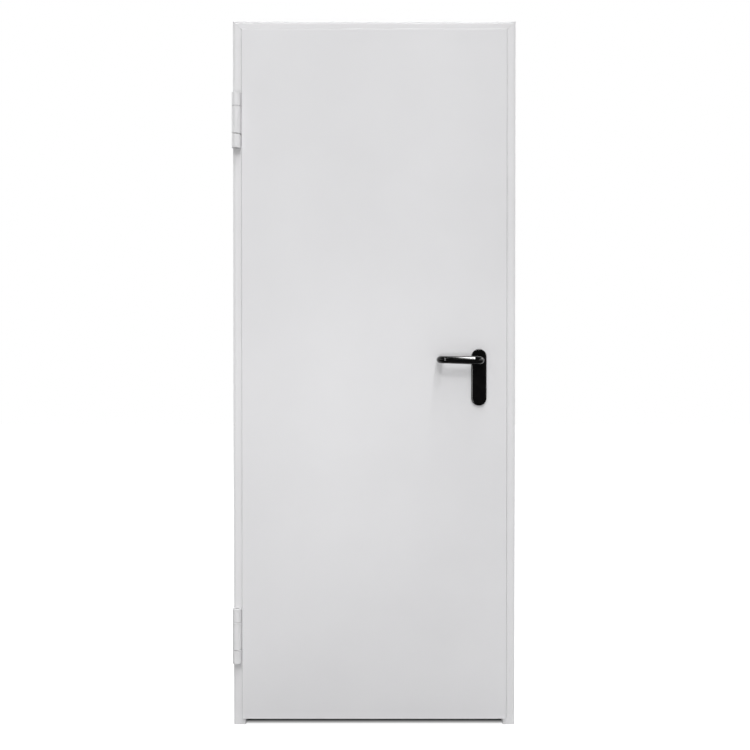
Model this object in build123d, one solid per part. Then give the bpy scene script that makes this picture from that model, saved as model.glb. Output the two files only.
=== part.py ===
from build123d import *
import os

os.makedirs("parts", exist_ok=True)

# Frame, outside size
frame_width = 820.0
frame_height = 2046.0

# Frame section, a corner profile and a lining profile folded from steel sheet
frame_sheet = 2.0
bend_radius = 2.0
hem_width = 12.0
hem_bevel_width = 7.0
hem_bevel_drop = 2.0
hem_edge_round = 0.8
face_width = 35.0
rebate_depth = 57.0
stop_width = 15.0
joint_flange = 10.0
reveal_depth = 33.0
rear_face_width = 20.0
rear_lip = 11.0
mitre_seam = 0.4

# Groove in the rebate that holds the fire seal
groove_depth = 3.0
groove_bend = 1.2
groove_from_stop = 6.0
groove_bottom_width = 10.0
seal_width = 8.6
seal_thickness = 2.6
seal_edge_round = 0.5

# Wall anchors behind the jambs
anchor_hole = 11.0
anchor_low_z = 250.0
anchor_pitch = 500.0
anchor_count = 4
anchor_depth = 71.0
strap_sheet = 2.0
strap_height = 40.0
strap_width = 25.0
strap_bend = 2.0
wall_opening_edge = 10.0

# Corner cleats behind the mitres
cleat_sheet = 2.0
cleat_leg = 70.0
cleat_width = 16.0
cleat_from_hem = 1.0

# Leaf, two folded steel sheets around a core
leaf_sheet = 1.2
lip_overlap = 10.0
head_lip_overlap = 11.0
lip_gap = 5.0
lip_front_round = 2.6
lip_rear_round = 0.8
floor_gap = 20.0
hinge_side_gap = 5.0
lock_side_gap = 8.0
head_gap = 5.0
stop_gap = 5.0
tray_bend = 2.4
channel_sheet = 1.5
channel_height = 30.0
channel_recess = 3.0
core_above_channel = 2.0
core_play = 1.0

# Hinges
upper_hinge_from_top = 290.0
lower_hinge_z = 264.0
hinge_height = 160.0
middle_knuckle = 80.0
knuckle_radius = 13.0
knuckle_edge = 1.0
hinge_axis_inset = 12.0
hinge_axis_ahead = 15.0
pin_radius = 7.0
pin_fit = 0.05
pin_running_fit = 0.1
pin_recess = 1.0
foot_width = 14.0
wing_thickness = 2.5
wing_leg = 36.0
top_joint = 1.0
upper_bearing_joint = 3.0
lower_bearing_joint = 1.5
bearing_radius = 10.0

# Dog bolts on the hinge edge
dog_bolt_from_hinge = 200.0
dog_bolt_radius = 6.0
dog_bolt_reach = 14.0
dog_bolt_tip = 4.0
dog_bolt_base_radius = 10.0
dog_bolt_base = 4.0
dog_bolt_hole = 26.0
dog_bolt_depth = 20.0
keep_sheet = 2.0
keep_width = 28.0
keep_height = 60.0

# Lock in the leaf's free edge
spindle_z = 1063.0
backset = 64.0
lock_depth = 20.0
forend_thickness = 3.0
forend_width = 24.0
forend_height = 235.0
forend_drop = 40.0
case_thickness = 16.0
case_height = 165.0
case_back = 28.0
latch_width = 13.0
latch_height = 30.0
latch_proud = 1.5
latch_tail = 30.0
latch_bevel = 10.0
latch_play = 1.0

# Strike in the lock jamb
strike_width = 24.0
strike_height = 180.0
strike_play = 0.3
strike_mouth_width = 17.0
strike_mouth_height = 38.0
strike_corner_round = 1.0
strike_end_flange = 10.0
strike_side_flange = 2.0
strike_sheet = 2.0
strike_pocket = 16.0

# Lever handles
plate_width = 44.0
plate_above = 33.0
plate_below = 131.0
plate_thickness = 9.0
plate_edge = 3.0
spigot_radius = 8.0
spigot_length = 6.5
spigot_fit = 0.2
lever_plate_gap = 0.6
neck_radius = 12.0
end_radius = 10.4
lever_stand_off = 52.0
lever_length = 124.0
lever_rise = 1.0
inner_elbow = 17.0
outer_elbow = 14.0
return_gap = 10.0
lever_end_round = 4.0
spindle_side = 9.0
spindle_in_lever = 18.0
spindle_way = 20.0

# How far each cut runs past the faces that it opens
cut_over = 1.0

# Positions worked out from the sizes above
hem_thickness = 2 * frame_sheet
left_x = -hem_width / 2
right_x = left_x + frame_width
middle_x = left_x + frame_width / 2
face_y = -hem_thickness
rebate_left_x = left_x + face_width
rebate_right_x = right_x - face_width
stop_y = face_y + rebate_depth
lip_rear_y = face_y - lip_gap
lip_thickness = 3 * leaf_sheet
leaf_front_y = lip_rear_y - lip_thickness
leaf_rear_y = stop_y - stop_gap
lip_left_x = rebate_left_x - lip_overlap
lip_right_x = rebate_right_x + lip_overlap
lip_top_z = frame_height - face_width + head_lip_overlap
body_left_x = rebate_left_x + hinge_side_gap
body_right_x = rebate_right_x - lock_side_gap
body_top_z = frame_height - face_width - head_gap
hinge_x = left_x + hinge_axis_inset
hinge_y = face_y - hinge_axis_ahead
spindle_x = body_right_x - backset
lock_y = face_y + lock_depth
dog_bolt_y = face_y + dog_bolt_depth
anchor_y = face_y + anchor_depth
forend_z = spindle_z - forend_drop
upper_hinge_z = frame_height - upper_hinge_from_top
knuckle_rise = middle_knuckle / 2
hinge_rise = hinge_height / 2
outer_plane = Plane(origin=(middle_x, 0, 0), z_dir=(1, 0, 0))


def block(x_from, x_to, y_from, y_to, z_from, z_to):
    centre = Pos((x_from + x_to) / 2, (y_from + y_to) / 2, (z_from + z_to) / 2)
    return centre * Box(abs(x_to - x_from), abs(y_to - y_from), abs(z_to - z_from))


def rod_along_x(radius, x_from, x_to, y, z):
    place = Plane(origin=(x_from, y, z), z_dir=(1, 0, 0))
    return extrude(place * Circle(radius), amount=x_to - x_from)


def rod_along_y(radius, y_from, y_to, x, z):
    place = Plane(origin=(x, y_from, z), z_dir=(0, 1, 0))
    return extrude(place * Circle(radius), amount=y_to - y_from)


def rod_along_z(radius, z_from, z_to, x, y):
    place = Plane(origin=(x, y, z_from), z_dir=(0, 0, 1))
    return extrude(place * Circle(radius), amount=z_to - z_from)


def write(shape, node):
    shape.label = node
    export_step(shape, "parts/" + node + ".step")


# Corner profile: hem pressed to a bevel, face, rebate with the seal's groove, flange of the joint
half_sheet = frame_sheet / 2
rebate_line = face_width - half_sheet
groove_line = rebate_line - groove_depth
stop_line = rebate_depth + half_sheet
reveal_line = face_width + stop_width - half_sheet
rear_line = rebate_depth + reveal_depth - half_sheet
lip_line = face_width + stop_width - rear_face_width + half_sheet
groove_rear = rebate_depth - groove_from_stop
groove_front = groove_rear - groove_bottom_width - 2 * groove_depth
corner_line = FilletPolyline(
    ((hem_bevel_width + hem_width) / 2, half_sheet),
    (rebate_line, half_sheet),
    (rebate_line, groove_front),
    (groove_line, groove_front + groove_depth),
    (groove_line, groove_rear - groove_depth),
    (rebate_line, groove_rear),
    (rebate_line, rebate_depth - half_sheet),
    (rebate_line - joint_flange, rebate_depth - half_sheet),
    radius=[bend_radius, groove_bend, groove_bend, groove_bend, groove_bend, bend_radius],
)
hem_outline = Polyline(
    (hem_bevel_width, 0),
    (0, hem_bevel_drop),
    (0, hem_thickness),
    (hem_width, hem_thickness),
    (hem_width, 0),
    close=True,
)
hem = make_face(hem_outline)
hem_edge = hem.vertices().group_by(Axis.X)[0].sort_by(Axis.Y)[0]
hem = fillet(hem_edge, hem_edge_round)
corner_section = trace(corner_line, frame_sheet) + hem

# Lining profile: stop, reveal, rear face and a lip turned back to the front
lining_line = FilletPolyline(
    (rebate_line - joint_flange, stop_line),
    (reveal_line, stop_line),
    (reveal_line, rear_line),
    (lip_line, rear_line),
    (lip_line, rear_line - rear_lip),
    radius=bend_radius,
)
lining_section = trace(lining_line, frame_sheet)

# Jambs and head, mitred at the top corners with a fine seam
seam_shift = mitre_seam / 2
left_corner = Vector(left_x, 0, frame_height)
right_corner = Vector(right_x, 0, frame_height)
left_cut = Plane(origin=left_corner, z_dir=(1, 0, 1))
right_cut = Plane(origin=right_corner, z_dir=(-1, 0, 1))
foot_plane = Plane(origin=(left_x, face_y, 0), x_dir=(1, 0, 0), z_dir=(0, 0, 1))
head_plane = Plane(origin=(left_x, face_y, frame_height), x_dir=(0, 0, -1), z_dir=(1, 0, 0))


def mitred_jamb(section):
    bar = extrude(foot_plane * section, amount=frame_height)
    return split(bar, bisect_by=left_cut.offset(-seam_shift), keep=Keep.BOTTOM)


def mitred_head(section):
    bar = extrude(head_plane * section, amount=frame_width)
    bar = split(bar, bisect_by=left_cut.offset(seam_shift), keep=Keep.TOP)
    return split(bar, bisect_by=right_cut.offset(seam_shift), keep=Keep.TOP)


write(mitred_head(corner_section), "frame_head")
write(mitred_head(lining_section), "head_lining")

# Linings of the jambs, with the anchor holes through the reveal
lining = mitred_jamb(lining_section)
reveal_x = left_x + face_width + stop_width
anchor_heights = [anchor_low_z + anchor_pitch * step for step in range(anchor_count)]
for height in anchor_heights:
    lining -= rod_along_x(
        anchor_hole / 2, reveal_x - 2 * frame_sheet, reveal_x + frame_sheet, anchor_y, height
    )

write(lining, "hinge_jamb_lining")
write(mirror(lining, about=outer_plane), "lock_jamb_lining")

# Hinge jamb with the holes that take the dog bolts
plain_jamb = mitred_jamb(corner_section)
dog_bolt_heights = [upper_hinge_z - dog_bolt_from_hinge, lower_hinge_z + dog_bolt_from_hinge]
hinge_jamb = plain_jamb
for height in dog_bolt_heights:
    hinge_jamb -= rod_along_x(
        dog_bolt_hole / 2,
        rebate_left_x - 2 * frame_sheet,
        rebate_left_x + frame_sheet,
        dog_bolt_y,
        height,
    )
write(hinge_jamb, "hinge_jamb")

# Lock jamb with the window for the strike
strike_half_width = strike_width / 2
strike_half_height = strike_height / 2
strike_window = block(
    rebate_right_x - frame_sheet,
    rebate_right_x + 2 * frame_sheet,
    lock_y - strike_half_width,
    lock_y + strike_half_width,
    spindle_z - strike_half_height,
    spindle_z + strike_half_height,
)
lock_jamb = mirror(plain_jamb, about=outer_plane) - strike_window
write(lock_jamb, "lock_jamb")

# Anchor straps, bent to a C between the reveal and the wall
strap_front = rebate_depth + frame_sheet + 1.5 * strap_sheet
strap_line = FilletPolyline(
    (reveal_line - half_sheet - strap_sheet / 2, strap_front + strap_width),
    (reveal_line - half_sheet - strap_sheet / 2, strap_front),
    (wall_opening_edge + strap_sheet / 2, strap_front),
    (wall_opening_edge + strap_sheet / 2, strap_front + strap_width),
    radius=strap_bend,
)
strap_section = trace(strap_line, strap_sheet)
straps = []
for height in anchor_heights:
    strap_plane = Plane(
        origin=(left_x, face_y, height - strap_height / 2), x_dir=(1, 0, 0), z_dir=(0, 0, 1)
    )
    strap = extrude(strap_plane * strap_section, amount=strap_height)
    strap -= rod_along_x(anchor_hole / 2, left_x, reveal_x, anchor_y, height)
    straps.append(strap.solid())
write(Compound(children=straps), "hinge_jamb_anchor_straps")
lock_straps = [mirror(strap, about=outer_plane) for strap in straps]
write(Compound(children=lock_straps), "lock_jamb_anchor_straps")

# Corner cleats, flat angles that hold the mitred corners together behind the face
cleat_from = hem_width + cleat_from_hem
cleat_front_y = face_y + frame_sheet
cleat_rear_y = cleat_front_y + cleat_sheet
cleat_left_x = left_x + cleat_from
cleat_top_z = frame_height - cleat_from
cleat = block(
    cleat_left_x,
    cleat_left_x + cleat_width,
    cleat_front_y,
    cleat_rear_y,
    cleat_top_z - cleat_leg,
    cleat_top_z,
) + block(
    cleat_left_x,
    cleat_left_x + cleat_leg,
    cleat_front_y,
    cleat_rear_y,
    cleat_top_z - cleat_width,
    cleat_top_z,
)
left_cleat = cleat.solid()
write(Compound(children=[left_cleat, mirror(left_cleat, about=outer_plane)]), "corner_cleats")

# Fire seals lying in the grooves of the rebate
seal_middle = (groove_front + groove_rear) / 2
seal_out = groove_line + half_sheet
seal_section = Pos(seal_out + seal_thickness / 2, seal_middle) * RectangleRounded(
    seal_thickness, seal_width, seal_edge_round
)
side_seal = mitred_jamb(seal_section)
write(side_seal, "hinge_side_fire_seal")
write(mirror(side_seal, about=outer_plane), "lock_side_fire_seal")
write(mitred_head(seal_section), "head_fire_seal")

# Strike plate, flush in its window, with the mouth for the latch
mouth_half_width = strike_mouth_width / 2
mouth_half_height = strike_mouth_height / 2
strike_back_x = rebate_right_x + frame_sheet
strike_plate = block(
    rebate_right_x,
    strike_back_x,
    lock_y - strike_half_width + strike_play,
    lock_y + strike_half_width - strike_play,
    spindle_z - strike_half_height + strike_play,
    spindle_z + strike_half_height - strike_play,
)
strike_mouth = block(
    rebate_right_x - cut_over,
    strike_back_x + strike_sheet + strike_pocket,
    lock_y - mouth_half_width,
    lock_y + mouth_half_width,
    spindle_z - mouth_half_height,
    spindle_z + mouth_half_height,
)
strike_plate -= strike_mouth
strike_plate = fillet(strike_plate.edges().filter_by(Axis.X), strike_corner_round)
write(strike_plate, "strike_plate")

# Strike box, a flanged pressing behind the plate
box_end_x = strike_back_x + strike_sheet + strike_pocket + strike_sheet
strike_box = block(
    strike_back_x,
    strike_back_x + strike_sheet,
    lock_y - strike_half_width - strike_side_flange,
    lock_y + strike_half_width + strike_side_flange,
    spindle_z - strike_half_height - strike_end_flange,
    spindle_z + strike_half_height + strike_end_flange,
)
strike_box += block(
    strike_back_x,
    box_end_x,
    lock_y - mouth_half_width - strike_sheet,
    lock_y + mouth_half_width + strike_sheet,
    spindle_z - mouth_half_height - strike_sheet,
    spindle_z + mouth_half_height + strike_sheet,
)
strike_box -= strike_mouth
write(strike_box, "strike_box")

# Dog bolt keeps, plates with a round hole behind the hinge jamb's rebate
keep_x = rebate_left_x - frame_sheet
keeps = []
for height in dog_bolt_heights:
    keep = block(
        keep_x - keep_sheet,
        keep_x,
        dog_bolt_y - keep_width / 2,
        dog_bolt_y + keep_width / 2,
        height - keep_height / 2,
        height + keep_height / 2,
    )
    keep -= rod_along_x(dog_bolt_hole / 2, keep_x - 2 * keep_sheet, rebate_left_x, dog_bolt_y, height)
    keeps.append(keep.solid())
write(Compound(children=keeps), "dog_bolt_keeps")

# Front sheet of the leaf, folded back on three sides to a hollow lip that ends at the tray
front_sheet = block(lip_left_x, lip_right_x, leaf_front_y, lip_rear_y, floor_gap, lip_top_z)
front_face = front_sheet.faces().sort_by(Axis.Y)[0]
front_rim = [edge for edge in front_face.edges() if edge.center().Z > floor_gap + cut_over]
front_sheet = fillet(front_rim, lip_front_round)
rear_face = front_sheet.faces().sort_by(Axis.Y)[-1]
rear_rim = [edge for edge in rear_face.edges() if edge.center().Z > floor_gap + cut_over]
front_sheet = fillet(rear_rim, lip_rear_round)
inner_front_y = leaf_front_y + leaf_sheet
below_leaf = floor_gap - cut_over
front_sheet -= block(
    body_left_x, body_right_x, inner_front_y, lip_rear_y + cut_over, below_leaf, body_top_z
)
front_sheet -= block(
    lip_left_x + leaf_sheet,
    lip_right_x - leaf_sheet,
    inner_front_y,
    lip_rear_y - leaf_sheet,
    below_leaf,
    lip_top_z - leaf_sheet,
)
way_radius = spindle_way / 2
front_sheet -= rod_along_y(way_radius, leaf_front_y - cut_over, lip_rear_y, spindle_x, spindle_z)
write(front_sheet, "leaf_front_sheet")

# Back tray of the leaf, folded from one sheet and set into the back of the lip
tray = block(body_left_x, body_right_x, inner_front_y, leaf_rear_y, floor_gap, body_top_z)
tray_face = tray.faces().sort_by(Axis.Y)[-1]
tray_rim = [edge for edge in tray_face.edges() if edge.center().Z > floor_gap + cut_over]
tray = fillet(tray_rim, tray_bend)
inner_left_x = body_left_x + leaf_sheet
inner_right_x = body_right_x - leaf_sheet
inner_rear_y = leaf_rear_y - leaf_sheet
inner_top_z = body_top_z - leaf_sheet
tray_inside = block(
    inner_left_x, inner_right_x, inner_front_y - cut_over, inner_rear_y, below_leaf, inner_top_z
)
inside_face = tray_inside.faces().sort_by(Axis.Y)[-1]
inside_rim = [edge for edge in inside_face.edges() if edge.center().Z > floor_gap]
tray_inside = fillet(inside_rim, tray_bend - leaf_sheet)
tray -= tray_inside

# Cut-outs of the tray for the hinge wings, the dog bolts, the lock and the spindle
forend_half_width = forend_width / 2
forend_half_height = forend_height / 2
forend_outline = Plane(
    origin=(body_right_x, lock_y, forend_z), x_dir=(0, 0, 1), z_dir=(-1, 0, 0)
) * SlotOverall(forend_height, forend_width)
forend = extrude(forend_outline, amount=forend_thickness)
wing_heights = {"upper": upper_hinge_z, "lower": lower_hinge_z}
bearing_joints = {"upper": upper_bearing_joint, "lower": lower_bearing_joint}
wing_rear_y = lip_rear_y + wing_leg
wing_recess_x = body_left_x + wing_thickness
tray -= forend
for height in wing_heights.values():
    tray -= block(
        body_left_x - cut_over,
        wing_recess_x,
        lip_rear_y,
        wing_rear_y,
        height - knuckle_rise,
        height + knuckle_rise,
    )
for height in dog_bolt_heights:
    tray -= rod_along_x(
        dog_bolt_base_radius,
        body_left_x - cut_over,
        body_left_x + dog_bolt_base,
        dog_bolt_y,
        height,
    )
tray -= rod_along_y(way_radius, inner_rear_y - cut_over, leaf_rear_y + cut_over, spindle_x, spindle_z)
write(tray, "leaf_back_tray")

# Bottom channel between the two sheets
channel_web_z = floor_gap + channel_recess + channel_sheet / 2
channel_line = FilletPolyline(
    (inner_front_y + channel_sheet / 2, channel_web_z + channel_height),
    (inner_front_y + channel_sheet / 2, channel_web_z),
    (inner_rear_y - channel_sheet / 2, channel_web_z),
    (inner_rear_y - channel_sheet / 2, channel_web_z + channel_height),
    radius=1.5 * channel_sheet,
)
channel_left_x = inner_left_x + tray_bend
channel_right_x = inner_right_x - tray_bend
channel_plane = Plane(origin=(channel_left_x, 0, 0), x_dir=(0, 1, 0), z_dir=(1, 0, 0))
channel_section = channel_plane * trace(channel_line, channel_sheet)
channel = extrude(channel_section, amount=channel_right_x - channel_left_x)
write(channel, "leaf_bottom_channel")

# Mineral wool core, cut out round the lock, the wings, the dog bolts and the spindle
case_front_x = body_right_x - forend_thickness
case_back_x = spindle_x - case_back
case_top_z = forend_z + case_height / 2
case_bottom_z = forend_z - case_height / 2
core_bottom_z = channel_web_z + channel_height + core_above_channel
core = block(
    inner_left_x,
    inner_right_x,
    inner_front_y,
    inner_rear_y - tray_bend,
    core_bottom_z,
    inner_top_z - tray_bend,
)
core -= block(
    case_back_x,
    body_right_x,
    lock_y - forend_half_width - core_play,
    lock_y + forend_half_width + core_play,
    forend_z - forend_half_height - core_play,
    forend_z + forend_half_height + core_play,
)
for height in wing_heights.values():
    core -= block(
        body_left_x,
        wing_recess_x + core_play,
        lip_rear_y - core_play,
        wing_rear_y + core_play,
        height - knuckle_rise - core_play,
        height + knuckle_rise + core_play,
    )
for height in dog_bolt_heights:
    core -= rod_along_x(
        dog_bolt_base_radius + core_play,
        body_left_x,
        body_left_x + dog_bolt_base + core_play,
        dog_bolt_y,
        height,
    )
core -= rod_along_y(way_radius, inner_front_y - cut_over, inner_rear_y + cut_over, spindle_x, spindle_z)
write(core, "leaf_core")

# Three-knuckle hinges, outer knuckles on the frame and the middle one on the leaf
for side, height in wing_heights.items():
    bearing_joint = bearing_joints[side]
    top_from = height + knuckle_rise + top_joint / 2
    top_to = height + hinge_rise
    low_from = height - hinge_rise
    low_to = height - knuckle_rise - bearing_joint / 2
    middle_from = height - knuckle_rise + bearing_joint / 2
    middle_to = height + knuckle_rise - top_joint / 2
    frame_knuckles = []
    for z_from, z_to in [(top_from, top_to), (low_from, low_to)]:
        knuckle = rod_along_z(knuckle_radius, z_from, z_to, hinge_x, hinge_y)
        knuckle = chamfer(knuckle.edges(), knuckle_edge)
        foot = block(
            hinge_x - foot_width / 2,
            hinge_x + foot_width / 2,
            hinge_y,
            face_y,
            z_from + knuckle_edge,
            z_to - knuckle_edge,
        )
        knuckle = knuckle + foot
        knuckle -= rod_along_z(
            pin_radius + pin_fit, z_from - cut_over, z_to + cut_over, hinge_x, hinge_y
        )
        frame_knuckles.append(knuckle.solid())
    write(Compound(children=frame_knuckles), side + "_hinge_frame_knuckles")

    leaf_knuckle = rod_along_z(knuckle_radius, middle_from, middle_to, hinge_x, hinge_y)
    leaf_knuckle = chamfer(leaf_knuckle.edges(), knuckle_edge)
    wing_front_y = lip_rear_y
    wing_from = middle_from + knuckle_edge
    wing_to = middle_to - knuckle_edge
    leaf_knuckle += block(
        hinge_x, wing_recess_x, wing_front_y, wing_front_y + wing_thickness, wing_from, wing_to
    )
    leaf_knuckle += block(
        body_left_x, wing_recess_x, wing_front_y, wing_rear_y, wing_from, wing_to
    )
    leaf_knuckle -= rod_along_z(
        pin_radius + pin_running_fit,
        middle_from - cut_over,
        middle_to + cut_over,
        hinge_x,
        hinge_y,
    )
    write(leaf_knuckle, side + "_hinge_leaf_knuckle")

    pin = rod_along_z(pin_radius, low_from + pin_recess, top_to - pin_recess, hinge_x, hinge_y)
    write(pin, side + "_hinge_pin")

    bearing = rod_along_z(bearing_radius, low_to, middle_from - pin_running_fit, hinge_x, hinge_y)
    bearing -= rod_along_z(
        pin_radius + pin_running_fit, low_to - cut_over, middle_from + cut_over, hinge_x, hinge_y
    )
    write(bearing, side + "_hinge_bearing")

# Dog bolts, pins with a cone tip on a base let into the hinge edge
dog_bolts = []
for height in dog_bolt_heights:
    tip_x = body_left_x - dog_bolt_reach
    dog_bolt = rod_along_x(
        dog_bolt_base_radius, body_left_x, body_left_x + dog_bolt_base, dog_bolt_y, height
    )
    shank = rod_along_x(dog_bolt_radius, tip_x, body_left_x + dog_bolt_base, dog_bolt_y, height)
    shank_tip = shank.edges().sort_by(Axis.X)[0]
    dog_bolt += chamfer(shank_tip, dog_bolt_tip)
    dog_bolts.append(dog_bolt.solid())
write(Compound(children=dog_bolts), "dog_bolts")

# Lock case with the way for the spindle and the pocket for the latch
latch_half_width = latch_width / 2
latch_half_height = latch_height / 2
latch_tip_x = body_right_x + latch_proud
latch_back_x = case_front_x - latch_tail
lock_case = block(
    case_back_x,
    case_front_x,
    lock_y - case_thickness / 2,
    lock_y + case_thickness / 2,
    case_bottom_z,
    case_top_z,
)
latch_way = block(
    latch_back_x - latch_play,
    latch_tip_x,
    lock_y - latch_half_width - latch_play / 2,
    lock_y + latch_half_width + latch_play / 2,
    spindle_z - latch_half_height - latch_play,
    spindle_z + latch_half_height + latch_play,
)
lock_case -= latch_way
lock_case -= rod_along_y(
    spigot_radius, lock_y - case_thickness, lock_y + case_thickness, spindle_x, spindle_z
)
write(lock_case, "lock_case")
write(forend - latch_way, "lock_forend")

# Latch bolt, drawn back into the case, with its sloped closing side
latch_outline = Polyline(
    (latch_back_x, lock_y - latch_half_width),
    (latch_tip_x, lock_y - latch_half_width),
    (latch_tip_x, lock_y - latch_half_width + latch_play),
    (latch_tip_x - latch_bevel, lock_y + latch_half_width),
    (latch_back_x, lock_y + latch_half_width),
    close=True,
)
latch_plane = Plane(origin=(0, 0, spindle_z - latch_half_height))
latch = extrude(latch_plane * make_face(latch_outline), amount=latch_height)
write(latch, "latch_bolt")


# Handle set of one side, built outward from the leaf and pointing to the hinges
def handle_plate():
    plate_height = plate_above + plate_below
    plate_middle = (plate_above - plate_below) / 2
    outline = Pos(0, plate_middle) * SlotOverall(plate_height, plate_width, rotation=90)
    plate = extrude(outline, amount=plate_thickness)
    rim = plate.faces().sort_by(Axis.Z)[-1].edges()
    plate = fillet(rim, plate_edge)
    bore = extrude(Circle(spigot_radius + spigot_fit), amount=plate_thickness)
    return plate - bore


def handle_lever():
    neck_from = plate_thickness + lever_plate_gap
    neck_to = lever_stand_off - inner_elbow
    grip_end_x = lever_length - end_radius - outer_elbow
    return_from = lever_stand_off - outer_elbow
    neck = extrude(Plane(origin=(0, 0, neck_from)) * Circle(neck_radius), amount=neck_to - neck_from)
    elbow_axis = Axis((-inner_elbow, 0, neck_to), (0, -1, 0))
    elbow_face = Plane(origin=(0, 0, neck_to)) * Circle(neck_radius)
    elbow = revolve(elbow_face, axis=elbow_axis, revolution_arc=90)
    grip_length = grip_end_x - inner_elbow
    grip_place = Plane(origin=(-inner_elbow, 0, lever_stand_off), z_dir=(-1, 0, 0))
    grip_taper = Cone(neck_radius, end_radius, grip_length, align=(Align.CENTER, Align.CENTER, Align.MIN))
    grip = grip_place.location * grip_taper
    return_axis = Axis((-grip_end_x, 0, return_from), (0, -1, 0))
    return_face = Plane(origin=(-grip_end_x, 0, lever_stand_off), z_dir=(-1, 0, 0)) * Circle(end_radius)
    return_bend = revolve(return_face, axis=return_axis, revolution_arc=90)
    tip = Plane(origin=(-grip_end_x - outer_elbow, 0, return_gap))
    return_leg = extrude(tip * Circle(end_radius), amount=return_from - return_gap)
    tip_edge = return_leg.edges().filter_by(GeomType.CIRCLE).sort_by(Axis.Z)[0]
    return_leg = fillet(tip_edge, lever_end_round)
    spigot_from = Plane(origin=(0, 0, neck_from - spigot_length))
    spigot = extrude(spigot_from * Circle(spigot_radius), amount=spigot_length)
    socket = extrude(
        spigot_from * Rectangle(spindle_side, spindle_side), amount=spigot_length + spindle_in_lever
    )
    lever = neck + elbow + grip + return_bend + return_leg + spigot
    return lever.rotate(Axis.Z, -lever_rise) - socket


front_place = Plane(origin=(spindle_x, leaf_front_y, spindle_z), x_dir=(1, 0, 0), z_dir=(0, -1, 0))
plate_solid = handle_plate()
lever_solid = handle_lever()
front_plate = front_place.location * plate_solid
front_lever = front_place.location * lever_solid
leaf_middle = Plane(origin=(0, (leaf_front_y + leaf_rear_y) / 2, 0), z_dir=(0, 1, 0))
write(front_plate, "front_backplate")
write(front_lever, "front_lever")
write(mirror(front_plate, about=leaf_middle), "back_backplate")
write(mirror(front_lever, about=leaf_middle), "back_lever")

# Square spindle through the leaf, seated in both levers
spindle_end = plate_thickness + lever_plate_gap + spindle_in_lever
spindle = block(
    spindle_x - spindle_side / 2,
    spindle_x + spindle_side / 2,
    leaf_front_y - spindle_end,
    leaf_rear_y + spindle_end,
    spindle_z - spindle_side / 2,
    spindle_z + spindle_side / 2,
)
write(spindle, "spindle")
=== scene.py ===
import bpy
import math
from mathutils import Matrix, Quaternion, Vector


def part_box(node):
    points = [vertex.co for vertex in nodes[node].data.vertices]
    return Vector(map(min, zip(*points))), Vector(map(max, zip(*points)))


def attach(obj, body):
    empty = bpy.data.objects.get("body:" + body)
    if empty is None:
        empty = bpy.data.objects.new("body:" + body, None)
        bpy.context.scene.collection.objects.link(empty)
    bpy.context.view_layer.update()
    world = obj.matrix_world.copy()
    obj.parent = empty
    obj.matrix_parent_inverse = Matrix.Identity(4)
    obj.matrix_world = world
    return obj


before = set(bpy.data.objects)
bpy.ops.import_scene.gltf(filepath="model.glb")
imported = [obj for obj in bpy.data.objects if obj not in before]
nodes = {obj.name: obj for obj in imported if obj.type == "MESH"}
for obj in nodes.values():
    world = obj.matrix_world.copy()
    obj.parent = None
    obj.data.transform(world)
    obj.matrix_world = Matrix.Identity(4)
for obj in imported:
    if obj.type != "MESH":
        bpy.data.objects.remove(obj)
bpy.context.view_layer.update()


# Frame: two jambs and a head of folded steel sheet, hemmed at the wall edge and mitred
# at the top corners, with a lining of the same sheet behind. All are powder-coated white,
# a thick coat with a very fine orange-peel surface.
def shader_nodes(name):
    finish = bpy.data.materials.new(name)
    finish.use_nodes = True
    tree = finish.node_tree
    shader = tree.nodes["Principled BSDF"]
    return finish, tree, shader


def noise_pattern(tree, scale, detail, stretch=(1.0, 1.0, 1.0)):
    place = tree.nodes.new("ShaderNodeTexCoord")
    mapping = tree.nodes.new("ShaderNodeMapping")
    mapping.inputs["Scale"].default_value = stretch
    noise = tree.nodes.new("ShaderNodeTexNoise")
    noise.inputs["Scale"].default_value = scale
    noise.inputs["Detail"].default_value = detail
    tree.links.new(place.outputs["Object"], mapping.inputs["Vector"])
    tree.links.new(mapping.outputs["Vector"], noise.inputs["Vector"])
    return noise


def tone_between(tree, pattern, dark, light, low=0.35, high=0.65):
    ramp = tree.nodes.new("ShaderNodeValToRGB")
    ramp.color_ramp.elements[0].position = low
    ramp.color_ramp.elements[0].color = (*dark, 1.0)
    ramp.color_ramp.elements[1].position = high
    ramp.color_ramp.elements[1].color = (*light, 1.0)
    tree.links.new(pattern.outputs["Fac"], ramp.inputs["Fac"])
    return ramp


def roughness_between(tree, shader, pattern, smooth, rough):
    span = tree.nodes.new("ShaderNodeMapRange")
    span.inputs["From Min"].default_value = 0.3
    span.inputs["From Max"].default_value = 0.7
    span.inputs["To Min"].default_value = smooth
    span.inputs["To Max"].default_value = rough
    tree.links.new(pattern.outputs["Fac"], span.inputs["Value"])
    tree.links.new(span.outputs["Result"], shader.inputs["Roughness"])


def bump_from(tree, pattern, depth, strength, under=None):
    bump = tree.nodes.new("ShaderNodeBump")
    bump.inputs["Strength"].default_value = strength
    bump.inputs["Distance"].default_value = depth
    tree.links.new(pattern.outputs["Fac"], bump.inputs["Height"])
    if under is not None:
        tree.links.new(under.outputs["Normal"], bump.inputs["Normal"])
    return bump


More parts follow.
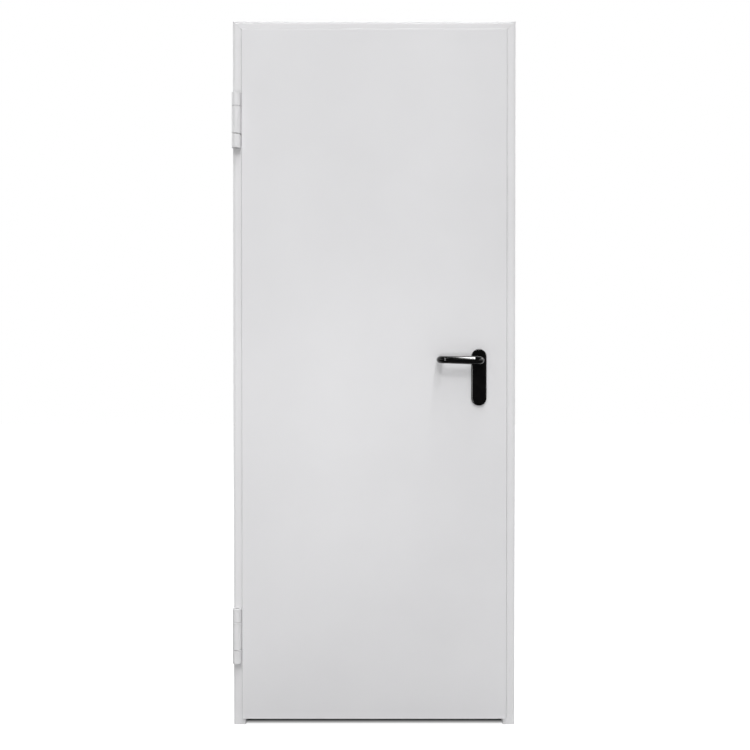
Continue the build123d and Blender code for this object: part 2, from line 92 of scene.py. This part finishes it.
def powder_coat(name, dark, light, wave_depth):
    finish, tree, shader = shader_nodes(name)
    cloud = noise_pattern(tree, scale=2.2, detail=3.0)
    tone = tone_between(tree, cloud, dark, light)
    tree.links.new(tone.outputs["Color"], shader.inputs["Base Color"])
    grain = noise_pattern(tree, scale=620.0, detail=2.0)
    roughness_between(tree, shader, grain, smooth=0.40, rough=0.52)
    wave = noise_pattern(tree, scale=3.4, detail=1.0)
    sheet_wave = bump_from(tree, wave, depth=wave_depth, strength=0.6)
    peel = bump_from(tree, grain, depth=0.00012, strength=0.5, under=sheet_wave)
    tree.links.new(peel.outputs["Normal"], shader.inputs["Normal"])
    shader.inputs["Specular IOR Level"].default_value = 0.45
    return finish


def coat_nodes(names, finish):
    for name in names:
        nodes[name].material_slots[0].material = finish


coat_dark = (0.80, 0.797, 0.807)
coat_light = (0.83, 0.827, 0.837)
frame_coat = powder_coat("frame_coat", coat_dark, coat_light, wave_depth=0.0004)
coat_nodes(("hinge_jamb", "lock_jamb", "frame_head"), frame_coat)
coat_nodes(("hinge_jamb_lining", "lock_jamb_lining", "head_lining"), frame_coat)


# Wall anchor straps, corner cleats, keeps and strike box: plain bent strips and plates of
# zinc-coated sheet behind the frame, with the small crystals of hot-dip zinc. The lock case
# and the channel in the foot of the leaf are of the same sheet.
zinc, zinc_tree, zinc_shader = shader_nodes("zinc_sheet")
zinc_place = zinc_tree.nodes.new("ShaderNodeTexCoord")
crystal = zinc_tree.nodes.new("ShaderNodeTexVoronoi")
crystal.inputs["Scale"].default_value = 160.0
zinc_tree.links.new(zinc_place.outputs["Object"], crystal.inputs["Vector"])
crystal_split = zinc_tree.nodes.new("ShaderNodeSeparateColor")
zinc_tree.links.new(crystal.outputs["Color"], crystal_split.inputs["Color"])
zinc_tone = zinc_tree.nodes.new("ShaderNodeValToRGB")
zinc_tone.color_ramp.elements[0].color = (0.40, 0.42, 0.44, 1.0)
zinc_tone.color_ramp.elements[1].color = (0.56, 0.58, 0.60, 1.0)
zinc_tree.links.new(crystal_split.outputs["Red"], zinc_tone.inputs["Fac"])
zinc_tree.links.new(zinc_tone.outputs["Color"], zinc_shader.inputs["Base Color"])
zinc_haze = noise_pattern(zinc_tree, scale=40.0, detail=4.0)
roughness_between(zinc_tree, zinc_shader, zinc_haze, smooth=0.38, rough=0.55)
zinc_shader.inputs["Metallic"].default_value = 0.6
coat_nodes(("hinge_jamb_anchor_straps", "lock_jamb_anchor_straps", "corner_cleats"), zinc)
coat_nodes(("dog_bolt_keeps", "strike_box", "lock_case", "leaf_bottom_channel"), zinc)


# Fire seals: strips of pressed graphite that swell in a fire, glued into the grooves of
# the rebate. Their face is a dull dark grey film with fine mica flecks.
seal_finish, seal_tree, seal_shader = shader_nodes("graphite_strip")
fleck = noise_pattern(seal_tree, scale=900.0, detail=3.0)
seal_dark = (0.030, 0.030, 0.033)
seal_light = (0.085, 0.083, 0.082)
seal_tone = tone_between(seal_tree, fleck, seal_dark, seal_light, low=0.45, high=0.75)
seal_tree.links.new(seal_tone.outputs["Color"], seal_shader.inputs["Base Color"])
roughness_between(seal_tree, seal_shader, fleck, smooth=0.7, rough=0.9)
seal_bump = bump_from(seal_tree, fleck, depth=0.0002, strength=0.5)
seal_tree.links.new(seal_bump.outputs["Normal"], seal_shader.inputs["Normal"])
coat_nodes(("hinge_side_fire_seal", "lock_side_fire_seal", "head_fire_seal"), seal_finish)


# Strike plate and its two screws: a flat plate of bright plated steel, ground along its
# length, held to the strike box by low domed screws with a cross slot. The forend, the
# latch, the dog bolts and the spindle are of the same steel.
def bright_steel(name, stretch):
    finish, tree, shader = shader_nodes(name)
    scratch = noise_pattern(tree, scale=1100.0, detail=3.0, stretch=stretch)
    tone = tone_between(tree, scratch, dark=(0.60, 0.60, 0.59), light=(0.68, 0.68, 0.67))
    tree.links.new(tone.outputs["Color"], shader.inputs["Base Color"])
    roughness_between(tree, shader, scratch, smooth=0.26, rough=0.36)
    bump = bump_from(tree, scratch, depth=0.00003, strength=0.3)
    tree.links.new(bump.outputs["Normal"], shader.inputs["Normal"])
    shader.inputs["Metallic"].default_value = 1.0
    return finish


def looks_up(face):
    return face.normal.z > 0.9


def looks_down(face):
    return face.normal.z < -0.9


def select_faces(piece, test):
    bpy.context.tool_settings.mesh_select_mode = (False, False, True)
    bpy.ops.object.mode_set(mode="EDIT")
    bpy.ops.mesh.select_all(action="DESELECT")
    bpy.ops.object.mode_set(mode="OBJECT")
    for face in piece.data.polygons:
        face.select = test(face)
    bpy.ops.object.mode_set(mode="EDIT")


def pick(piece):
    bpy.ops.object.select_all(action="DESELECT")
    piece.select_set(True)
    bpy.context.view_layer.objects.active = piece


def cut_from(piece, cutter):
    pick(piece)
    slot_cut = piece.modifiers.new("slot_cut", "BOOLEAN")
    slot_cut.operation = "DIFFERENCE"
    slot_cut.solver = "EXACT"
    slot_cut.object = cutter
    bpy.ops.object.modifier_apply(modifier="slot_cut")


def remove_piece(piece):
    pick(piece)
    bpy.ops.object.delete()


def smooth_screw(screw):
    pick(screw)
    bpy.ops.object.shade_smooth_by_angle(angle=math.radians(35.0))


def screw_blank(radius, sunk, proud):
    bpy.ops.object.select_all(action="DESELECT")
    bpy.ops.mesh.primitive_cylinder_add(
        vertices=32, radius=radius, depth=sunk + proud, location=(0.0, 0.0, (proud - sunk) / 2)
    )
    bpy.ops.object.transform_apply(location=True, rotation=True, scale=True)
    return bpy.context.object


def domed_screw(radius, sunk, rim, crown):
    dome_ring = radius * 0.16
    dome_shares = (0.5, 0.3, 0.2)
    foot_taper = (0.5, 0.5, 1.0)
    slot_length = radius * 1.15
    slot_width = radius * 0.26
    slot_floor = 0.12 * rim
    slot_taper = (0.6, 0.75, 1.0)
    middle = (0.0, 0.0, 0.0)
    screw = screw_blank(radius, sunk, rim)
    select_faces(screw, looks_up)
    for share in dome_shares:
        bpy.ops.mesh.inset(thickness=dome_ring)
        bpy.ops.transform.translate(value=(0.0, 0.0, (crown - rim) * share))
    select_faces(screw, looks_down)
    bpy.ops.transform.resize(value=foot_taper, center_override=middle)
    bpy.ops.object.mode_set(mode="OBJECT")
    bpy.ops.mesh.primitive_cube_add(size=1.0, location=(0.0, 0.0, crown))
    slot = bpy.context.object
    slot.scale = (slot_length, slot_width, 2 * (crown - slot_floor))
    bpy.ops.object.transform_apply(location=True, rotation=True, scale=True)
    select_faces(slot, looks_down)
    bpy.ops.transform.resize(value=slot_taper, center_override=middle)
    bpy.ops.object.mode_set(mode="OBJECT")
    cut_from(screw, slot)
    slot.rotation_euler = (0.0, 0.0, math.pi / 2)
    cut_from(screw, slot)
    remove_piece(slot)
    smooth_screw(screw)
    return screw


def placed_copy(model, name, place, turn, body):
    pick(model)
    bpy.ops.object.duplicate(linked=False)
    piece = bpy.context.object
    piece.name = name
    piece.data.name = name
    piece.rotation_mode = "ZYX"
    piece.location = place
    piece.rotation_euler = [math.radians(angle) for angle in turn]
    bpy.ops.object.transform_apply(location=True, rotation=True, scale=True)
    piece.rotation_mode = "XYZ"
    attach(piece, body)


steel = bright_steel("bright_plated_steel", stretch=(1.0, 1.0, 0.02))
coat_nodes(("strike_plate", "lock_forend", "latch_bolt", "dog_bolts", "spindle"), steel)
screw_steel = bright_steel("screw_steel", stretch=(1.0, 1.0, 1.0))
plate_screw = domed_screw(radius=0.0042, sunk=0.0012, rim=0.0003, crown=0.0010)
plate_screw.data.materials.append(screw_steel)
strike_low, strike_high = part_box("strike_plate")
strike_y = (strike_low.y + strike_high.y) / 2
strike_screw_inset = 0.015
strike_screws = (
    ("strike_screw_upper", strike_high.z - strike_screw_inset, 20.0),
    ("strike_screw_lower", strike_low.z + strike_screw_inset, 64.0),
)
for screw_name, screw_z, slot_turn in strike_screws:
    screw_place = (strike_low.x, strike_y, screw_z)
    screw_turn = (0.0, -90.0, slot_turn)
    placed_copy(plate_screw, screw_name, screw_place, screw_turn, "frame")


# Hinges: turned steel knuckles with welded feet and bent wings, coated in the same white
# as the frame but smoother. Each turns on a ground pin and a bearing ring, and a socket
# screw closes the pin at both ends.
hinge_coat = powder_coat("hinge_coat", coat_dark, coat_light, wave_depth=0.0)
coat_nodes(("upper_hinge_frame_knuckles", "lower_hinge_frame_knuckles"), hinge_coat)
coat_nodes(("upper_hinge_leaf_knuckle", "lower_hinge_leaf_knuckle"), hinge_coat)
coat_nodes(("upper_hinge_pin", "lower_hinge_pin"), steel)
coat_nodes(("upper_hinge_bearing", "lower_hinge_bearing"), steel)


def socket_screw(radius, sunk, proud, key_radius):
    rim_bevel = radius * 0.08
    key_middle = proud * 1.1
    screw = screw_blank(radius, sunk, proud)
    select_faces(screw, looks_up)
    bpy.ops.mesh.bevel(offset=rim_bevel, segments=2, affect="EDGES")
    bpy.ops.object.mode_set(mode="OBJECT")
    bpy.ops.mesh.primitive_cylinder_add(
        vertices=6, radius=key_radius, depth=2 * proud, location=(0.0, 0.0, key_middle)
    )
    key_way = bpy.context.object
    bpy.ops.object.transform_apply(location=True, rotation=True, scale=True)
    cut_from(screw, key_way)
    remove_piece(key_way)
    smooth_screw(screw)
    return screw


pin_screw = socket_screw(radius=0.0069, sunk=0.0003, proud=0.0008, key_radius=0.0032)
pin_screw.data.materials.append(screw_steel)
for side in ("upper", "lower"):
    pin_low, pin_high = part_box(side + "_hinge_pin")
    pin_x = (pin_low.x + pin_high.x) / 2
    pin_y = (pin_low.y + pin_high.y) / 2
    pin_ends = (
        ("top", pin_high.z, (0.0, 0.0, 12.0)),
        ("bottom", pin_low.z, (180.0, 0.0, 41.0)),
    )
    for end, end_z, screw_turn in pin_ends:
        screw_name = f"{side}_hinge_{end}_screw"
        screw_place = (pin_x, pin_y, end_z)
        placed_copy(pin_screw, screw_name, screw_place, screw_turn, "frame")
remove_piece(pin_screw)


# Weld beads: the feet of the outer knuckles are welded to the frame's face along both
# sides, with the scaly ripple of a hand-laid bead, and coated over with the hinge.
bead_start_radius = 0.001155
bead_step = 0.0011
bead_steps = 30
start_swell = 1.75
ripple_in = 0.84
ripple_out = 1.19
end_swell = 0.6
bpy.ops.object.select_all(action="DESELECT")
bpy.ops.mesh.primitive_circle_add(vertices=12, radius=bead_start_radius, fill_type="NGON")
bead = bpy.context.object
bpy.ops.object.mode_set(mode="EDIT")
bpy.ops.mesh.select_all(action="SELECT")
ripples = [ripple_in if step % 2 else ripple_out for step in range(1, bead_steps - 1)]
bead_height = 0.0
for swell in (start_swell, *ripples, end_swell):
    bpy.ops.mesh.extrude_region_move(TRANSFORM_OT_translate={"value": (0.0, 0.0, bead_step)})
    bead_height += bead_step
    bpy.ops.transform.resize(
        value=(swell, swell, 1.0), center_override=(0.0, 0.0, bead_height)
    )
bpy.ops.mesh.select_all(action="SELECT")
bpy.ops.mesh.remove_doubles(threshold=0.00001)
bpy.ops.mesh.normals_make_consistent(inside=False)
bpy.ops.object.mode_set(mode="OBJECT")
bpy.ops.object.shade_smooth_by_angle(angle=math.radians(50.0))
bead.data.materials.append(hinge_coat)
foot_half = 0.007
top_bead_drop = 0.0365
bottom_bead_rise = 0.0025
bead_turn = (0.0, 0.0, 15.0)
for side in ("upper", "lower"):
    hinge_low, hinge_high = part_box(side + "_hinge_frame_knuckles")
    pin_low, pin_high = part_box(side + "_hinge_pin")
    foot_x = (pin_low.x + pin_high.x) / 2
    bead_feet = (
        ("top", hinge_high.z - top_bead_drop),
        ("bottom", hinge_low.z + bottom_bead_rise),
    )
    for foot, bead_z in bead_feet:
        for edge, edge_x in (("outer", foot_x - foot_half), ("inner", foot_x + foot_half)):
            bead_name = f"{side}_hinge_{foot}_{edge}_weld"
            bead_place = (edge_x, hinge_high.y, bead_z)
            placed_copy(bead, bead_name, bead_place, bead_turn, "frame")
remove_piece(bead)


# Leaf: a front sheet folded to a lip on three sides and a back tray welded into it, of thin
# steel, powder-coated white. The broad sheets lie very slightly in waves.
leaf_dark = (0.78, 0.777, 0.79)
leaf_light = (0.81, 0.807, 0.82)
leaf_coat = powder_coat("leaf_coat", leaf_dark, leaf_light, wave_depth=0.0009)
coat_nodes(("leaf_front_sheet", "leaf_back_tray"), leaf_coat)


# Core of the leaf: boards of pressed mineral wool, yellowish brown, closed in by the
# sheets on every side.
wool_finish, wool_tree, wool_shader = shader_nodes("pressed_wool")
fibre = noise_pattern(wool_tree, scale=240.0, detail=6.0, stretch=(0.15, 1.0, 1.0))
wool_tone = tone_between(wool_tree, fibre, dark=(0.30, 0.26, 0.14), light=(0.52, 0.47, 0.30))
wool_tree.links.new(wool_tone.outputs["Color"], wool_shader.inputs["Base Color"])
wool_bump = bump_from(wool_tree, fibre, depth=0.002, strength=0.8)
wool_tree.links.new(wool_bump.outputs["Normal"], wool_shader.inputs["Normal"])
wool_shader.inputs["Roughness"].default_value = 0.95
coat_nodes(("leaf_core",), wool_finish)


# Wing screws: three domed screws hold each hinge wing to the leaf's hinge edge, where they
# show once the leaf stands open.
wing_thickness = 0.0025
wing_screw_pitch = 0.024
wing_screw_depth = 0.018
first_slot_turn = 17.0
slot_turn_step = 38.0
for side in ("upper", "lower"):
    wing_low, wing_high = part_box(side + "_hinge_leaf_knuckle")
    wing_middle = (wing_low.z + wing_high.z) / 2
    screw_x = wing_high.x - wing_thickness
    screw_y = wing_high.y - wing_screw_depth
    for count, level in enumerate(("lower", "middle", "upper")):
        screw_name = f"{side}_wing_{level}_screw"
        screw_place = (screw_x, screw_y, wing_middle + (count - 1) * wing_screw_pitch)
        screw_turn = (0.0, -90.0, first_slot_turn + slot_turn_step * count)
        placed_copy(plate_screw, screw_name, screw_place, screw_turn, "leaf")


# Forend screws: two domed screws hold the lock's forend in the leaf's free edge, one at
# each rounded end.
forend_low, forend_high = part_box("lock_forend")
forend_y = (forend_low.y + forend_high.y) / 2
forend_screw_inset = 0.0135
forend_screws = (
    ("forend_screw_upper", forend_high.z - forend_screw_inset, 33.0),
    ("forend_screw_lower", forend_low.z + forend_screw_inset, 71.0),
)
for screw_name, screw_z, slot_turn in forend_screws:
    screw_place = (forend_high.x, forend_y, screw_z)
    screw_turn = (0.0, 90.0, slot_turn)
    placed_copy(plate_screw, screw_name, screw_place, screw_turn, "leaf")


# Handles: levers and long plates moulded in black nylon over steel, polished to a deep
# gloss, with the faint flow of the moulding and a little hand wear in the gloss.
nylon_finish, nylon_tree, nylon_shader = shader_nodes("black_nylon_gloss")
flow = noise_pattern(nylon_tree, scale=55.0, detail=3.0)
nylon_dark = (0.0020, 0.0020, 0.0022)
nylon_light = (0.0040, 0.0038, 0.0038)
nylon_tone = tone_between(nylon_tree, flow, nylon_dark, nylon_light)
nylon_tree.links.new(nylon_tone.outputs["Color"], nylon_shader.inputs["Base Color"])
roughness_between(nylon_tree, nylon_shader, flow, smooth=0.04, rough=0.06)
ripple = noise_pattern(nylon_tree, scale=260.0, detail=1.0)
nylon_bump = bump_from(nylon_tree, ripple, depth=0.00004, strength=0.05)
nylon_tree.links.new(nylon_bump.outputs["Normal"], nylon_shader.inputs["Normal"])
coat_nodes(("front_lever", "back_lever", "front_backplate", "back_backplate"), nylon_finish)


# Fixing screws of the handles: two through screws show on the back plate only, and a small
# socket screw of blackened steel under each lever's neck clamps it on the spindle.
front_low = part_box("front_backplate")[0]
back_low, back_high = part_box("back_backplate")
spindle_low, spindle_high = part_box("spindle")
spindle_x = (spindle_low.x + spindle_high.x) / 2
spindle_z = (spindle_low.z + spindle_high.z) / 2
plate_end_inset = 0.021
upper_screw_drop = 0.038
back_plate_screws = (
    ("back_plate_upper_screw", spindle_z - upper_screw_drop, 27.0),
    ("back_plate_lower_screw", back_low.z + plate_end_inset, 58.0),
)
for screw_name, screw_z, slot_turn in back_plate_screws:
    screw_place = (spindle_x, back_high.y, screw_z)
    screw_turn = (-90.0, 0.0, slot_turn)
    placed_copy(plate_screw, screw_name, screw_place, screw_turn, "leaf")
remove_piece(plate_screw)
clamp_screw = socket_screw(radius=0.0024, sunk=0.0008, proud=0.0004, key_radius=0.0012)
black_finish, black_tree, black_shader = shader_nodes("blackened_steel")
black_haze = noise_pattern(black_tree, scale=900.0, detail=3.0)
black_dark = (0.010, 0.010, 0.011)
black_light = (0.022, 0.021, 0.020)
black_tone = tone_between(black_tree, black_haze, black_dark, black_light)
black_tree.links.new(black_tone.outputs["Color"], black_shader.inputs["Base Color"])
roughness_between(black_tree, black_shader, black_haze, smooth=0.35, rough=0.5)
black_shader.inputs["Metallic"].default_value = 1.0
clamp_screw.data.materials.append(black_finish)
neck_radius = 0.012
neck_screw_out = 0.012
clamp_turn = (180.0, 0.0, 8.0)
necks = (("front", front_low.y - neck_screw_out), ("back", back_high.y + neck_screw_out))
for side, neck_y in necks:
    screw_name = side + "_lever_clamp_screw"
    screw_place = (spindle_x, neck_y, spindle_z - neck_radius)
    placed_copy(clamp_screw, screw_name, screw_place, clamp_turn, "handle")
remove_piece(clamp_screw)


# Floor: a pale sheet of paper under the door, white to the camera. Its colour and its white glow
# are painted darker where little light reaches it, under the leaf behind its lip and close to
# the
# feet of the jambs: a painted shadow, drawn from an occlusion mask and a ramp across the floor.
floor_half = 14.0
shadow_start = -0.002
shadow_end = 0.038
shadow_fall = 1.7
corner_reach = 0.09
closed_in_front = 0.18
closed_behind = 0.45
open_in_front = 0.36
open_behind = 0.62
bpy.ops.mesh.primitive_plane_add(size=2 * floor_half, location=(0.0, 0.0, 0.0))
floor = bpy.context.object
floor.name = "studio_floor"
floor_finish, floor_tree, floor_shader = shader_nodes("studio_floor_paper")
floor_shader.inputs["Roughness"].default_value = 0.95
floor_shader.inputs["Specular IOR Level"].default_value = 0.0
floor_shader.inputs["Emission Color"].default_value = (1.0, 1.0, 1.0, 1.0)


def math_node(tree, operation, first, second):
    result = tree.nodes.new("ShaderNodeMath")
    result.operation = operation
    for socket, value in zip(result.inputs, (first, second)):
        if isinstance(value, float):
            socket.default_value = value
        else:
            tree.links.new(value, socket)
    return result.outputs["Value"]


def straight_sight(tree):
    ray = tree.nodes.new("ShaderNodeLightPath")
    camera_ray, gloss_ray = ray.outputs["Is Camera Ray"], ray.outputs["Is Glossy Ray"]
    seen = math_node(tree, "MAXIMUM", camera_ray, gloss_ray)
    return math_node(tree, "MAXIMUM", seen, ray.outputs["Is Transmission Ray"])


def floor_limit(in_front, behind_leaf):
    step = math_node(floor_tree, "MULTIPLY", behind, behind_leaf - in_front)
    return math_node(floor_tree, "ADD", step, in_front)


lip_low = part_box("leaf_front_sheet")[0]
floor_place = floor_tree.nodes.new("ShaderNodeTexCoord")
floor_axes = floor_tree.nodes.new("ShaderNodeSeparateXYZ")
floor_tree.links.new(floor_place.outputs["Object"], floor_axes.inputs["Vector"])
floor_y = floor_axes.outputs["Y"]
behind = math_node(floor_tree, "GREATER_THAN", floor_y, 0.0)
# Painted shade in corners: ambient occlusion mapped to a mask, stricter behind the door than in
# front.
openness = floor_tree.nodes.new("ShaderNodeAmbientOcclusion")
openness.samples = 32
openness.inputs["Distance"].default_value = corner_reach
open_part = floor_tree.nodes.new("ShaderNodeMapRange")
floor_tree.links.new(openness.outputs["AO"], open_part.inputs["Value"])
closed_limit = floor_limit(closed_in_front, closed_behind)
floor_tree.links.new(closed_limit, open_part.inputs["From Min"])
open_limit = floor_limit(open_in_front, open_behind)
floor_tree.links.new(open_limit, open_part.inputs["From Max"])
# Painted shadow under the leaf: a ramp from full light just behind the lip's line to none 38 mm
# further back.
under_part = floor_tree.nodes.new("ShaderNodeMapRange")
under_part.inputs["From Min"].default_value = shadow_start
under_part.inputs["From Max"].default_value = shadow_end
under_part.inputs["To Min"].default_value = 1.0
under_part.inputs["To Max"].default_value = 0.0
floor_tree.links.new(floor_y, under_part.inputs["Value"])
under_light = math_node(floor_tree, "POWER", under_part.outputs["Result"], shadow_fall)
under_lip = math_node(floor_tree, "GREATER_THAN", floor_y, float(lip_low.y))
under_light = math_node(floor_tree, "MULTIPLY", under_light, under_lip)
floor_light = math_node(floor_tree, "MAXIMUM", under_light, open_part.outputs["Result"])
# Painted shadow: the floor's colour runs from near black where the mask finds no light to pale
# grey where it is open.
floor_painted_shade_tone = floor_tree.nodes.new("ShaderNodeValToRGB")
floor_painted_shade_tone.color_ramp.elements[0].color = (0.05, 0.05, 0.05, 1.0)
floor_painted_shade_tone.color_ramp.elements[1].color = (0.34, 0.34, 0.34, 1.0)
floor_tree.links.new(floor_light, floor_painted_shade_tone.inputs["Fac"])
floor_tree.links.new(floor_painted_shade_tone.outputs["Color"], floor_shader.inputs["Base Color"])
# Painted shadow: the floor's white glow to the camera, gloss and glass is cut down by the same
# mask.
floor_white_painted_shade = math_node(floor_tree, "MULTIPLY", straight_sight(floor_tree), floor_light)
floor_tree.links.new(floor_white_painted_shade, floor_shader.inputs["Emission Strength"])
floor.data.materials.append(floor_finish)


# Room: an even dim light from all around falls on the door, and the room is plain white
# where the camera, the gloss or glass sees it, like the photograph's background.
world = bpy.data.worlds.new("studio_room")
bpy.context.scene.world = world
world.use_nodes = True
room = world.node_tree
room_light = room.nodes["Background"]
room_light.inputs["Color"].default_value = (1.0, 1.0, 1.0, 1.0)
room_light.inputs["Strength"].default_value = 0.13
room_white = room.nodes.new("ShaderNodeBackground")
room_white.inputs["Color"].default_value = (1.0, 1.0, 1.0, 1.0)
room_white.inputs["Strength"].default_value = 1.0
room_mix = room.nodes.new("ShaderNodeMixShader")
room.links.new(straight_sight(room), room_mix.inputs["Fac"])
room.links.new(room_light.outputs["Background"], room_mix.inputs[1])
room.links.new(room_white.outputs["Background"], room_mix.inputs[2])
room.links.new(room_mix.outputs["Shader"], room.nodes["World Output"].inputs["Surface"])


# Dark cloth: a wide sleeve round the set from the front over the top to the back and along
# the floor, open at both sides, which only the gloss sees, so that the handles stay black.
cloth_reach = 13.0
cloth_rise = 11.0
cloth_width = 30.0
cloth_foot = (0.0, 0.0, 0.03)
bpy.ops.object.select_all(action="DESELECT")
bpy.ops.mesh.primitive_cylinder_add(
    vertices=64,
    radius=cloth_reach,
    depth=cloth_width,
    end_fill_type="NOTHING",
    rotation=(0.0, math.pi / 2, 0.0),
)
cloth = bpy.context.object
cloth.name = "studio_dark_cloth"
bpy.ops.object.transform_apply(location=True, rotation=True, scale=True)
bpy.ops.object.mode_set(mode="EDIT")
bpy.ops.mesh.select_all(action="SELECT")
bpy.ops.mesh.bisect(plane_co=cloth_foot, plane_no=(0.0, 0.0, 1.0), clear_inner=True)
bpy.ops.mesh.select_all(action="SELECT")
cloth_flatten = (1.0, 1.0, cloth_rise / cloth_reach)
bpy.ops.transform.resize(value=cloth_flatten, center_override=cloth_foot)
bpy.ops.mesh.primitive_plane_add(size=1.0, location=cloth_foot)
cloth_spread = (cloth_width, 2 * cloth_reach, 1.0)
bpy.ops.transform.resize(value=cloth_spread, center_override=cloth_foot)
bpy.ops.object.mode_set(mode="OBJECT")
cloth_finish, _, cloth_shader = shader_nodes("studio_dark_cloth")
cloth_shader.inputs["Base Color"].default_value = (0.02, 0.02, 0.02, 1.0)
cloth_shader.inputs["Specular IOR Level"].default_value = 0.0
cloth_shader.inputs["Emission Color"].default_value = (1.0, 1.0, 1.0, 1.0)
cloth_shader.inputs["Emission Strength"].default_value = 0.04
cloth.data.materials.append(cloth_finish)
cloth.visible_camera = False
cloth.visible_diffuse = False
cloth.visible_transmission = False
cloth.visible_volume_scatter = False
cloth.visible_shadow = False


# Lamps: a wide soft lamp high in front, long strips under the ceiling on both sides with a
# third in front of them, soft lamps low in front and at the left, and three behind the door.
def soft_lamp(name, place, aim, size, power, twist=0.0):
    lamp = bpy.data.lights.new(name, "AREA")
    lamp.shape = "RECTANGLE"
    lamp.size, lamp.size_y = size
    lamp.energy = power
    lamp_object = bpy.data.objects.new(name, lamp)
    bpy.context.scene.collection.objects.link(lamp_object)
    lamp_object.location = place
    lamp_object.rotation_mode = "QUATERNION"
    facing = (Vector(aim) - Vector(place)).to_track_quat("-Z", "Y")
    roll = Quaternion((0.0, 0.0, 1.0), math.radians(twist))
    lamp_object.rotation_quaternion = facing @ roll
    lamp_object.visible_camera = False


def door_lamp(name, place, size, power):
    soft_lamp(name, place, aim=(0.404, 0.0, 1.05), size=size, power=power)


def ceiling_strip(name, place, size, power, twist=0.0):
    floor_below = (place[0], place[1], 0.0)
    soft_lamp(name, place, aim=floor_below, size=size, power=power, twist=twist)


door_lamp("lamp_key", place=(-0.4, -7.0, 6.0), size=(1.8, 1.2), power=128.0)
ceiling_strip("lamp_ceiling_left", place=(-0.5, -3.0, 9.0), size=(0.6, 12.0), power=90.0)
ceiling_strip(
    "lamp_ceiling_right", place=(1.50, -3.0, 9.0), size=(0.34, 12.0), power=500.0, twist=2.2
)
door_lamp("lamp_front_strip", place=(1.66, -9.0, 6.6), size=(0.34, 4.7), power=120.0)
soft_lamp(
    "lamp_front_low", place=(0.2, -2.4, 0.74), aim=(0.45, 0.0, 0.74), size=(0.6, 0.6), power=13.4
)
door_lamp("lamp_left", place=(-2.2, -3.2, 2.4), size=(1.0, 1.0), power=5.0)
door_lamp("lamp_back", place=(0.6, 2.6, 5.0), size=(2.0, 2.0), power=180.0)
door_lamp("lamp_back_left", place=(-2.6, 1.6, 2.8), size=(1.2, 1.2), power=30.0)
door_lamp("lamp_back_right", place=(3.4, 1.6, 2.8), size=(1.2, 1.2), power=30.0)


# Camera: stands straight in front of the door at chest height, a little above its middle,
# and is tipped down by less than a degree, as in the photograph.
camera_tip = 0.62
camera_data = bpy.data.cameras.new("front_camera")
camera = bpy.data.objects.new("front_camera", camera_data)
bpy.context.scene.collection.objects.link(camera)
camera_data.sensor_width = 36.0
camera_data.lens = 46.2
camera.location = (0.4062, -2.804, 1.051)
camera.rotation_euler = (math.radians(90.0 - camera_tip), 0.0, 0.0)
bpy.context.scene.camera = camera
bpy.context.scene.view_settings.view_transform = "Standard"
